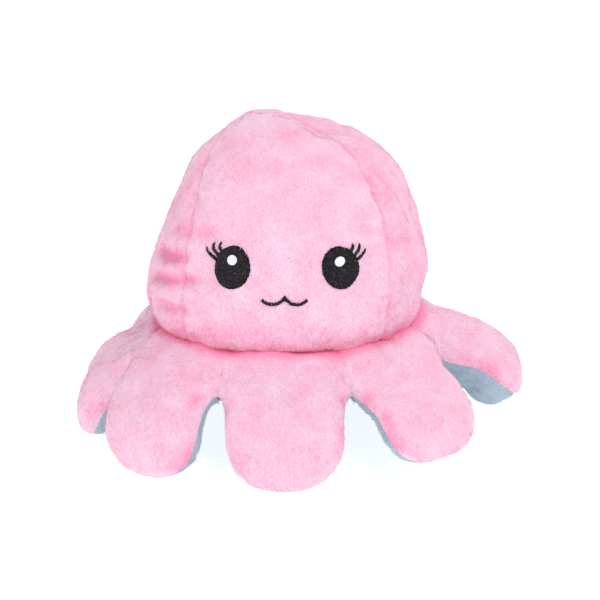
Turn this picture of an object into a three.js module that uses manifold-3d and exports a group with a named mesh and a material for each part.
// A reversible plush octopus standing on its eight stubby arms: a soft domed head over a skirt of
// padded lobes. The outer skin is pink and the lining, which shows when the toy is turned inside out,
// is pale blue. Lengths are in millimetres and +Z is up. The face looks along -Y, and left and right
// are as seen from there.
import * as THREE from "three";
import { mergeVertices } from "three/addons/utils/BufferGeometryUtils.js";
import Module from "manifold-3d";

const wasm = await Module();
wasm.setup();

// Cloth and clearances
const PLUSH_THICKNESS = 2;
const THREAD_THICKNESS = 1;
const CLEARANCE = 0.3;

// Head
const HEAD_HALF_WIDTH = 62.5;
const CROWN_HEIGHT = 72;
const BELLY_DEPTH = 21;
const NECK_RADIUS = 50;
const CROWN_FULLNESS_SHARE = 2;
const BELLY_FULLNESS_SHARE = 4.5;
const SQUARENESS_SHARE = 0.02;
const HEAD_PANELS = ["front", "right", "back", "left"];
const GORE_COLUMNS = 8;
const HEAD_ROW_SHARES = [0, 0.07, 0.16, 0.26, 0.36, 0.46, 0.56, 0.66, 0.76, 0.86, 0.95, 1];
const HEAD_LEAN = 5;
const PEAK_SHIFT = -16;
const PEAK_TIGHTNESS_SHARE = 12;

// Pocket inside the head, which the fingers push to turn the toy inside out
const NECK_WALL = 13;
const NECK_FACET_GAP = 0.9;
const POCKET_DEPTH = 74;
const POCKET_FULLNESS_SHARE = 2.4;
const POCKET_ROW_SHARES = [0, 0.16, 0.3, 0.44, 0.58, 0.72, 0.86, 1];

// Skirt, from the neck to the folds at the roots of the arms
const ARM_COUNT = 8;
const SKIRT_LENGTH = 22;
const NECK_HALF_THICKNESS = 6.5;
const FOLD_HALF_THICKNESS = 10;
const NECK_SLOPE = THREE.MathUtils.degToRad(8);
const FOLD_SLOPE = THREE.MathUtils.degToRad(-38);
const SKIRT_ROW_SHARES = [0, 0.38, 0.72, 1];
const SKIRT_COLUMNS = 4;

// Arms
const ARM_LENGTH = 41;
const ARM_HALF_WIDTH = 26;
const ARM_HALF_THICKNESS = 12;
const TOE_SLOPE = THREE.MathUtils.degToRad(-84);
const FOLD_OPENING = THREE.MathUtils.degToRad(18);
const WEB_NOTCH = 1.2;
const WEB_RUN = 3;
const TOE_START_SHARE = 0.42;
const PILLOW_FULLNESS_SHARE = 2.3;
const ROOT_ROWS = 3;
const TOE_ROWS = 5;
const ARM_COLUMNS = 6;
const FOOT_FLAT_DEPTH = 0.5;
const ARM_LIFT_ANGLES = {
  front: 0,
  front_right: 14,
  right: 27,
  back_right: 0,
  back: 0,
  back_left: 0,
  left: 0,
  front_left: 0,
};

// Face, as seen from the front. Rises are heights above the neck. The eyes are spread by a share of
// the head's half width, and the lashes are placed in shares of the eye.
const EYE_SPREAD_SHARE = 0.362;
const EYE_RISE = 39.7;
const EYE_HALF_WIDTH = 7.6;
const EYE_HALF_HEIGHT = 8.8;
const GLINT_RADIUS = 2.1;
const GLINT_RISE = 2.8;
const LASH_SHARES = {
  outer: [[1.08, 0.36], [1.52, 0.78]],
  middle: [[0.95, 0.62], [1.17, 1.05]],
  inner: [[0.76, 0.86], [0.82, 1.16]],
};
const LASH_ROOT_HALF_WIDTH = 0.7;
const LASH_TIP_HALF_WIDTH = 0.3;
const MOUTH_RISE = 28.6;
const MOUTH_DEPTH = 2.9;
const MOUTH_END_DROP = 1.6;
const MOUTH_HALF_WIDTH = 9.8;
const MOUTH_HALF_THICKNESS = 0.65;
const MOUTH_TAPER_SHARE = 0.45;
const MOUTH_STEPS = 16;
const OVAL_SIDES = 16;
const OVAL_RING_SHARES = [0, 0.55, 1];

// Face on the lining, which looks out once the toy is turned inside out. Rises are above the pocket's
// mouth.
const REVERSE_FACET_GAP = 0.8;
const REVERSE_EYE_SPREAD = 13;
const REVERSE_EYE_RISE = 38;
const REVERSE_EYE_RADIUS = 4.6;
const REVERSE_MOUTH_RISE = 29;
const REVERSE_MOUTH_DEPTH = 2.2;
const REVERSE_MOUTH_HALF_WIDTH = 6;

const pinkPlush = new THREE.MeshStandardMaterial({ color: 0xf7a9c9, roughness: 0.95, metalness: 0 });
const bluePlush = new THREE.MeshStandardMaterial({ color: 0x8fb4c9, roughness: 0.95, metalness: 0 });
const fibreFill = new THREE.MeshStandardMaterial({ color: 0xf4f4f0, roughness: 1, metalness: 0 });
const blackThread = new THREE.MeshStandardMaterial({ color: 0x1b181c, roughness: 0.6, metalness: 0 });
const whiteThread = new THREE.MeshStandardMaterial({ color: 0xf2f2f4, roughness: 0.55, metalness: 0 });

const { lerp } = THREE.MathUtils;
const seamGap = CLEARANCE / 2;
const quarterTurn = Math.PI / 2;
const armTurn = (2 * Math.PI) / ARM_COUNT;
const panelTurn = (2 * Math.PI) / HEAD_PANELS.length;

// A point given by its distance out from the axis along an azimuth, its distance across that line,
// and its height. Azimuth 0 is the front, and it grows towards the right.
function place(azimuth, outward, across, height) {
  return new THREE.Vector3(
    outward * Math.sin(azimuth) + across * Math.cos(azimuth),
    across * Math.sin(azimuth) - outward * Math.cos(azimuth),
    height,
  );
}

// How full a stuffed section is at a place across it, from 0 at its edges to 1 in its middle.
function pillow(across, fullness = PILLOW_FULLNESS_SHARE) {
  return Math.max(0, 1 - Math.abs(across) ** fullness) ** (1 / fullness);
}

// Places across a stuffed section, closer together towards its edges.
function placesAcross(columns) {
  const places = Array.from({ length: columns + 1 }, (_, j) => (2 * j) / columns - 1);
  return places.map((across) => Math.sin(quarterTurn * across));
}

// A closed body between two grids of points with the same rows and columns. Where the grids share an
// edge, or a row shrinks to a point, the faces that would have no area are left out.
function bodyBetween(outside, inside, wraps = false) {
  const rows = outside.length;
  const columns = outside[0].length;
  const strips = wraps ? columns : columns - 1;
  const positions = [];
  const triangle = (...corners) => corners.forEach((p) => positions.push(p.x, p.y, p.z));
  const quad = (a, b, c, d) => {
    triangle(a, b, c);
    triangle(a, c, d);
  };
  for (let j = 0; j < strips; j++) {
    const k = (j + 1) % columns;
    for (let i = 0; i + 1 < rows; i++) {
      quad(outside[i][j], outside[i][k], outside[i + 1][k], outside[i + 1][j]);
      quad(inside[i][j], inside[i + 1][j], inside[i + 1][k], inside[i][k]);
    }
    quad(outside[0][k], outside[0][j], inside[0][j], inside[0][k]);
    quad(outside[rows - 1][j], outside[rows - 1][k], inside[rows - 1][k], inside[rows - 1][j]);
  }
  for (let i = 0; i + 1 < rows && !wraps; i++) {
    quad(outside[i][0], outside[i + 1][0], inside[i + 1][0], inside[i][0]);
    quad(outside[i][strips], inside[i][strips], inside[i + 1][strips], outside[i + 1][strips]);
  }
  return closedGeometry(positions);
}

// Merges the corners of a soup of triangles, drops those without area, and turns the faces outwards.
function closedGeometry(positions) {
  const soup = new THREE.BufferGeometry();
  soup.setAttribute("position", new THREE.Float32BufferAttribute(positions, 3));
  const merged = mergeVertices(soup, CLEARANCE / 100);
  const corner = (k) => new THREE.Vector3().fromBufferAttribute(merged.getAttribute("position"), k);
  const kept = [];
  let volume = 0;
  for (let i = 0; i < merged.index.count; i += 3) {
    const [a, b, c] = [0, 1, 2].map((k) => merged.index.getX(i + k));
    if (a === b || b === c || c === a) continue;
    kept.push([a, b, c]);
    volume += corner(a).dot(corner(b).cross(corner(c)));
  }
  merged.setIndex(kept.flatMap(([a, b, c]) => (volume < 0 ? [a, c, b] : [a, b, c])));
  merged.computeVertexNormals();
  return merged;
}

// Conversions to and from a solid that can be joined and cut.
function solidOf(geometry) {
  return new wasm.Manifold(
    new wasm.Mesh({
      numProp: 3,
      vertProperties: new Float32Array(geometry.getAttribute("position").array),
      triVerts: new Uint32Array(geometry.index.array),
    }),
  );
}

function geometryOf(solid) {
  const { vertProperties, triVerts } = solid.getMesh();
  const geometry = new THREE.BufferGeometry();
  geometry.setAttribute("position", new THREE.BufferAttribute(vertProperties, 3));
  geometry.setIndex(new THREE.BufferAttribute(triVerts, 1));
  geometry.computeVertexNormals();
  return geometry;
}

function piece(name, geometry, material) {
  const mesh = new THREE.Mesh(geometry, material);
  mesh.name = name;
  return mesh;
}

// A line that bends evenly from one slope to another, in the plane of an arm: x is outwards and y is up.
class BentLine {
  constructor(start, length, firstSlope, lastSlope) {
    Object.assign(this, { start, length, firstSlope, lastSlope });
  }

  slopeAt(run) {
    return lerp(this.firstSlope, this.lastSlope, run / this.length);
  }

  // The point that far along the line, and then that far off it on its upper side.
  offset(run, rise) {
    const bend = (this.lastSlope - this.firstSlope) / this.length;
    const slope = this.slopeAt(run);
    return new THREE.Vector2(
      this.start.x + (Math.sin(slope) - Math.sin(this.firstSlope)) / bend - rise * Math.sin(slope),
      this.start.y + (Math.cos(this.firstSlope) - Math.cos(slope)) / bend + rise * Math.cos(slope),
    );
  }
}

// The arm and the skirt are parted at a plane through the fold. It opens downwards on both sides, so
// that the arm can drop: this is how far a point at that height in the padding stands back from it.
function foldSetback(rise) {
  return seamGap + (FOLD_HALF_THICKNESS - rise) * Math.tan(FOLD_OPENING / 2);
}

// Skirt. Heights in this model are measured from its seam at the neck, and the whole is set on the
// floor at the end.
const skirtLine = new BentLine(
  new THREE.Vector2(NECK_RADIUS - PLUSH_THICKNESS, 0),
  SKIRT_LENGTH,
  NECK_SLOPE,
  FOLD_SLOPE,
);
const foldLine = skirtLine.offset(SKIRT_LENGTH, FOLD_HALF_THICKNESS);

// One side of the padded skirt, 1 for the upper and -1 for the lower. An inset makes the section
// thinner, and from round at the neck the skirt turns eight-sided at the folds, where its webs thin
// out to nothing. The gap is what parts it from the mid-line.
function skirtGrid(side, inset, gap) {
  return SKIRT_ROW_SHARES.map((share) => {
    const web = Math.sqrt(1 - share ** 2);
    const middle = lerp(NECK_HALF_THICKNESS, FOLD_HALF_THICKNESS, share) - inset;
    const row = [];
    for (let arm = 0; arm < ARM_COUNT; arm++)
      for (const across of placesAcross(SKIRT_COLUMNS).slice(0, -1)) {
        const rise = side * (gap + middle * lerp(pillow(across), 1, web));
        const run = share === 1 ? SKIRT_LENGTH - foldSetback(rise) : share * SKIRT_LENGTH;
        const at = skirtLine.offset(run, rise);
        if (share === 0) at.x = skirtLine.start.x;
        const angle = (across * armTurn) / 2;
        row.push(
          place(
            arm * armTurn,
            lerp(at.x * Math.cos(angle), at.x, share),
            lerp(at.x * Math.sin(angle), at.x * across * Math.tan(armTurn / 2), share),
            at.y,
          ),
        );
      }
    return row;
  });
}

// The lower cover reaches further in than the upper one, to the mouth of the pocket.
const pocketRadius = NECK_RADIUS - NECK_WALL;
function withLip(grid) {
  const lip = grid[0].map((p) => {
    const flat = new THREE.Vector2(p.x, p.y).setLength(pocketRadius);
    return new THREE.Vector3(flat.x, flat.y, p.z);
  });
  return [lip, ...grid];
}

function skirtPieces() {
  const [upper, upperBack] = [0, PLUSH_THICKNESS].map((inset) => skirtGrid(1, inset, seamGap));
  const [under, underBack] = [0, PLUSH_THICKNESS].map((inset) => withLip(skirtGrid(-1, inset, seamGap)));
  const [top, bottom] = [1, -1].map((side) => skirtGrid(side, fillingInset, 0));
  return [
    piece("skirt_upper_cover", bodyBetween(upper, upperBack, true), pinkPlush),
    piece("skirt_under_cover", bodyBetween(under, underBack, true), bluePlush),
    piece("skirt_filling", bodyBetween(top, bottom, true), fibreFill),
  ];
}

// Arms, each drawn with its origin on its fold: x is outwards, y across and z up.
const armLine = new BentLine(
  skirtLine.offset(SKIRT_LENGTH, 0).sub(foldLine),
  ARM_LENGTH,
  FOLD_SLOPE,
  TOE_SLOPE,
);
const webHalfWidth = skirtLine.offset(SKIRT_LENGTH, 0).x * Math.tan(armTurn / 2);

const toeStart = TOE_START_SHARE * ARM_LENGTH;
const rootRowShares = Array.from({ length: ROOT_ROWS }, (_, i) => (TOE_START_SHARE * i) / ROOT_ROWS);
const toeRowShares = Array.from({ length: TOE_ROWS + 1 }, (_, i) => {
  return lerp(TOE_START_SHARE, 1, Math.sin((quarterTurn * i) / TOE_ROWS));
});
const armRowShares = [...rootRowShares, ...toeRowShares];

function armGrid(side, inset, gap) {
  return armRowShares.map((share) => {
    const run = share * (ARM_LENGTH - inset);
    const round = pillow(THREE.MathUtils.inverseLerp(TOE_START_SHARE, 1, Math.max(share, TOE_START_SHARE)));
    const swell = Math.min(1, run / toeStart);
    const middle = (lerp(FOLD_HALF_THICKNESS, ARM_HALF_THICKNESS, swell) - inset) * round;
    const notch = (webHalfWidth - WEB_NOTCH - ARM_HALF_WIDTH) * Math.exp(-run / WEB_RUN);
    const halfWidth = (ARM_HALF_WIDTH + notch - inset) * round;
    return placesAcross(ARM_COLUMNS).map((across) => {
      const rise = side * (gap + middle * pillow(across));
      const at = armLine.offset(share === 0 ? foldSetback(rise) : run, rise);
      return new THREE.Vector3(at.x, halfWidth * across, at.y);
    });
  });
}

// The filling keeps clear of the covers, so its skin lies one more clearance in.
const fillingInset = PLUSH_THICKNESS + CLEARANCE;
const armShapes = {
  upper_cover: [bodyBetween(armGrid(1, 0, seamGap), armGrid(1, PLUSH_THICKNESS, seamGap)), pinkPlush],
  under_cover: [bodyBetween(armGrid(-1, 0, seamGap), armGrid(-1, PLUSH_THICKNESS, seamGap)), bluePlush],
  filling: [bodyBetween(armGrid(1, fillingInset, 0), armGrid(-1, fillingInset, 0)), fibreFill],
};

// The toy's weight flattens the toes that it stands on: they are cut level, a little above their
// lowest point.
function flattenedToe(geometry, floor) {
  geometry.computeBoundingBox();
  const { min, max } = geometry.boundingBox;
  if (min.z > floor) return geometry;
  const size = max.clone().sub(min).addScalar(ARM_LENGTH);
  const under = new THREE.BoxGeometry(size.x, size.y, size.z);
  under.translate((min.x + max.x) / 2, (min.y + max.y) / 2, floor - size.z / 2);
  return geometryOf(solidOf(geometry).subtract(solidOf(weldedBox(under))));
}

function weldedBox(geometry) {
  geometry.deleteAttribute("normal");
  geometry.deleteAttribute("uv");
  return mergeVertices(geometry);
}

function arm(name, azimuth, lift) {
  const bend = new THREE.Group();
  bend.rotation.y = -lift;
  for (const [part, [geometry, material]] of Object.entries(armShapes))
    bend.add(piece(`${name}_arm_${part}`, lift ? geometry : flattenedToe(geometry, toeFloor), material));
  const root = new THREE.Group();
  root.position.copy(place(azimuth, foldLine.x, 0, foldLine.y));
  root.rotation.z = azimuth - quarterTurn;
  root.add(bend);
  return root;
}

armShapes.upper_cover[0].computeBoundingBox();
armShapes.under_cover[0].computeBoundingBox();
const toeFloor =
  Math.min(armShapes.upper_cover[0].boundingBox.min.z, armShapes.under_cover[0].boundingBox.min.z) +
  FOOT_FLAT_DEPTH;

// Head. Its gores stand on the skirt at the neck and run up to the peak, where all four meet.
const besideNeck = (2 * PLUSH_THICKNESS) / SKIRT_LENGTH;
const neckHeight =
  skirtLine.offset(besideNeck * SKIRT_LENGTH, lerp(NECK_HALF_THICKNESS, FOLD_HALF_THICKNESS, besideNeck)).y +
  CLEARANCE;
const bellyReach = BELLY_DEPTH / pillow(NECK_RADIUS / HEAD_HALF_WIDTH, BELLY_FULLNESS_SHARE);
const neckAngle = -Math.acos((NECK_RADIUS / HEAD_HALF_WIDTH) ** (BELLY_FULLNESS_SHARE / 2));
const belly = { reach: bellyReach, fullness: BELLY_FULLNESS_SHARE };
const crown = { reach: CROWN_HEIGHT, fullness: CROWN_FULLNESS_SHARE };

// The head's radius and its height above its widest place, for a share of the way from the neck to the peak.
function headProfile(share, inset) {
  const angle = lerp(neckAngle, quarterTurn, share);
  const { reach, fullness } = angle < 0 ? belly : crown;
  return new THREE.Vector2(
    (HEAD_HALF_WIDTH - inset) * Math.abs(Math.cos(angle)) ** (2 / fullness),
    Math.sign(angle) * (reach - inset) * Math.abs(Math.sin(angle)) ** (2 / fullness),
  );
}

// The seams between the gores stand out as soft corners. The crown leans to one side and its peak is
// pulled over to the other.
function headPoint(azimuth, share, inset) {
  const profile = headProfile(share, inset);
  const corner = 1 - SQUARENESS_SHARE * Math.cos(HEAD_PANELS.length * azimuth);
  const point = place(azimuth, profile.x * corner, 0, neckHeight + BELLY_DEPTH + profile.y);
  const rise = Math.max(0, profile.y / CROWN_HEIGHT);
  point.x += HEAD_LEAN * rise + PEAK_SHIFT * rise ** PEAK_TIGHTNESS_SHARE;
  return point;
}

// The pocket's radius narrows from its mouth to a round end.
const pocketMouth = PLUSH_THICKNESS + CLEARANCE - NECK_HALF_THICKNESS;
function pocketPoint(azimuth, share, inset) {
  const angle = share * quarterTurn;
  return place(
    azimuth,
    (pocketRadius - inset) * Math.abs(Math.cos(angle)) ** (2 / POCKET_FULLNESS_SHARE),
    0,
    pocketMouth + (POCKET_DEPTH - inset) * Math.sin(angle) ** (2 / POCKET_FULLNESS_SHARE),
  );
}

// One of the four gores of such a surface, with half a clearance at each seam. Its tip is a point of
// its own.
function goreGrid(surface, rowShares, centre, inset) {
  return rowShares.map((share) =>
    Array.from({ length: GORE_COLUMNS + 1 }, (_, j) => {
      const across = (2 * j) / GORE_COLUMNS - 1;
      const azimuth = centre + (across * panelTurn) / 2;
      const gap = share === 1 ? place(centre, CLEARANCE, 0, 0) : place(azimuth, 0, -across * seamGap, 0);
      return surface(azimuth, share, inset).add(gap);
    }),
  );
}

function gore(surface, rowShares, centre, backInset) {
  const [front, back] = [0, backInset].map((inset) => goreGrid(surface, rowShares, centre, inset));
  return bodyBetween(front, back);
}

function headPieces() {
  const columnCount = GORE_COLUMNS * HEAD_PANELS.length;
  const columns = Array.from({ length: columnCount }, (_, j) => (j * panelTurn) / GORE_COLUMNS);
  const neckWall = NECK_RADIUS - PLUSH_THICKNESS - NECK_FACET_GAP;
  const rowOf = (surface, share, inset) => columns.map((azimuth) => surface(azimuth, share, inset));
  const outside = [
    columns.map((azimuth) => place(azimuth, neckWall, 0, pocketMouth)),
    columns.map((azimuth) => place(azimuth, neckWall, 0, neckHeight)),
    ...HEAD_ROW_SHARES.map((share) => rowOf(headPoint, share, fillingInset)),
  ];
  const inside = outside.map((_, i) => rowOf(pocketPoint, i / (outside.length - 1), -fillingInset));
  const panels = HEAD_PANELS.flatMap((side, k) => {
    const centre = k * panelTurn;
    const panel = gore(headPoint, HEAD_ROW_SHARES, centre, PLUSH_THICKNESS);
    const lining = gore(pocketPoint, POCKET_ROW_SHARES, centre, -PLUSH_THICKNESS);
    return [
      piece(`head_${side}_panel`, panel, pinkPlush),
      piece(`pocket_${side}_lining`, lining, bluePlush),
    ];
  });
  return [...panels, piece("head_filling", bodyBetween(outside, inside, true), fibreFill)];
}

// Places on the two faces: how far across from the middle, how far up from the neck or the pocket's
// mouth, and how far proud of the cloth.
function onHead(across, rise, lift) {
  const height = rise - BELLY_DEPTH;
  const { reach, fullness } = height < 0 ? belly : crown;
  const angle = Math.sign(height) * Math.asin(Math.abs(height / reach) ** (fullness / 2));
  const share = THREE.MathUtils.inverseLerp(neckAngle, quarterTurn, angle);
  return headPoint(Math.asin(across / headProfile(share, 0).x), share, -lift);
}

function inPocket(across, rise, lift) {
  const share = Math.asin((rise / POCKET_DEPTH) ** (POCKET_FULLNESS_SHARE / 2)) / quarterTurn;
  const radius = pocketRadius * Math.cos(share * quarterTurn) ** (2 / POCKET_FULLNESS_SHARE);
  return pocketPoint(Math.asin(across / radius), share, lift);
}

// Embroidery of one thread's thickness over a grid of flat places, given as [across, rise].
function embroidery(surface, places, base, wraps) {
  const layer = (lift) => places.map((row) => row.map(([across, rise]) => surface(across, rise, lift)));
  return bodyBetween(layer(base + THREAD_THICKNESS), layer(base), wraps);
}

function ovalPlaces(across, rise, halfWidth, halfHeight) {
  return OVAL_RING_SHARES.map((ring) =>
    Array.from({ length: OVAL_SIDES }, (_, j) => {
      const angle = (2 * Math.PI * j) / OVAL_SIDES;
      return [across + ring * halfWidth * Math.cos(angle), rise + ring * halfHeight * Math.sin(angle)];
    }),
  );
}

// A tapering stitched line from one place to another.
function strokePlaces(start, end, startHalfWidth, endHalfWidth) {
  const line = new THREE.Vector2(end[0] - start[0], end[1] - start[1]).normalize();
  const sides = ([across, rise], halfWidth) => [
    [across - line.y * halfWidth, rise + line.x * halfWidth],
    [across + line.y * halfWidth, rise - line.x * halfWidth],
  ];
  return [sides(start, startHalfWidth), sides(end, endHalfWidth)];
}

// A stitched line along a curve, which gives the rise for a place from -1 to 1 across it.
function curvePlaces(halfWidth, halfThickness, curve) {
  const steps = Array.from({ length: MOUTH_STEPS + 1 }, (_, j) => (2 * j) / MOUTH_STEPS - 1);
  return [1, -1].map((side) =>
    steps.map((s) => [
      s * halfWidth,
      curve(s) + side * halfThickness * (1 - MOUTH_TAPER_SHARE * Math.abs(s)),
    ]),
  );
}

function facePieces() {
  const eyes = { left: -1, right: 1 };
  const overEye = 2 * CLEARANCE + THREAD_THICKNESS;
  const smile = curvePlaces(MOUTH_HALF_WIDTH, MOUTH_HALF_THICKNESS, (s) => {
    const dip = MOUTH_DEPTH * Math.sin(Math.PI * Math.abs(s));
    return MOUTH_RISE - dip - MOUTH_END_DROP * Math.abs(s);
  });
  const frown = curvePlaces(REVERSE_MOUTH_HALF_WIDTH, MOUTH_HALF_THICKNESS, (s) => {
    return REVERSE_MOUTH_RISE - REVERSE_MOUTH_DEPTH * s ** 2;
  });
  const pieces = [
    piece("mouth_stitching", embroidery(onHead, smile, CLEARANCE), blackThread),
    piece("reverse_mouth_stitching", embroidery(inPocket, frown, REVERSE_FACET_GAP), blackThread),
  ];
  for (const [side, sign] of Object.entries(eyes)) {
    const centre = sign * EYE_SPREAD_SHARE * HEAD_HALF_WIDTH;
    const fromEye = ([across, rise]) => [
      centre + sign * across * EYE_HALF_WIDTH,
      EYE_RISE + rise * EYE_HALF_HEIGHT,
    ];
    const lashes = Object.entries(LASH_SHARES).map(([place, [root, tip]]) => {
      const stroke = strokePlaces(fromEye(root), fromEye(tip), LASH_ROOT_HALF_WIDTH, LASH_TIP_HALF_WIDTH);
      return piece(`${side}_${place}_lash`, embroidery(onHead, stroke, CLEARANCE), blackThread);
    });
    const oval = ovalPlaces(centre, EYE_RISE, EYE_HALF_WIDTH, EYE_HALF_HEIGHT);
    const glint = ovalPlaces(centre, EYE_RISE + GLINT_RISE, GLINT_RADIUS, GLINT_RADIUS);
    const reverse = ovalPlaces(
      sign * REVERSE_EYE_SPREAD,
      REVERSE_EYE_RISE,
      REVERSE_EYE_RADIUS,
      REVERSE_EYE_RADIUS,
    );
    pieces.push(
      piece(`${side}_eye`, embroidery(onHead, oval, CLEARANCE, true), blackThread),
      piece(`${side}_eye_glint`, embroidery(onHead, glint, overEye, true), whiteThread),
      ...lashes,
      piece(`reverse_${side}_eye`, embroidery(inPocket, reverse, REVERSE_FACET_GAP, true), blackThread),
    );
  }
  return pieces;
}

// The whole toy stands on the floor, centred over the origin.
const toy = new THREE.Group();
toy.add(...headPieces(), ...facePieces(), ...skirtPieces());
Object.entries(ARM_LIFT_ANGLES).forEach(([name, degrees], k) => {
  toy.add(arm(name, k * armTurn, THREE.MathUtils.degToRad(degrees)));
});
const bounds = new THREE.Box3().setFromObject(toy, true);
const centre = bounds.getCenter(new THREE.Vector3());
toy.position.set(-centre.x, -centre.y, -bounds.min.z);

export default toy;
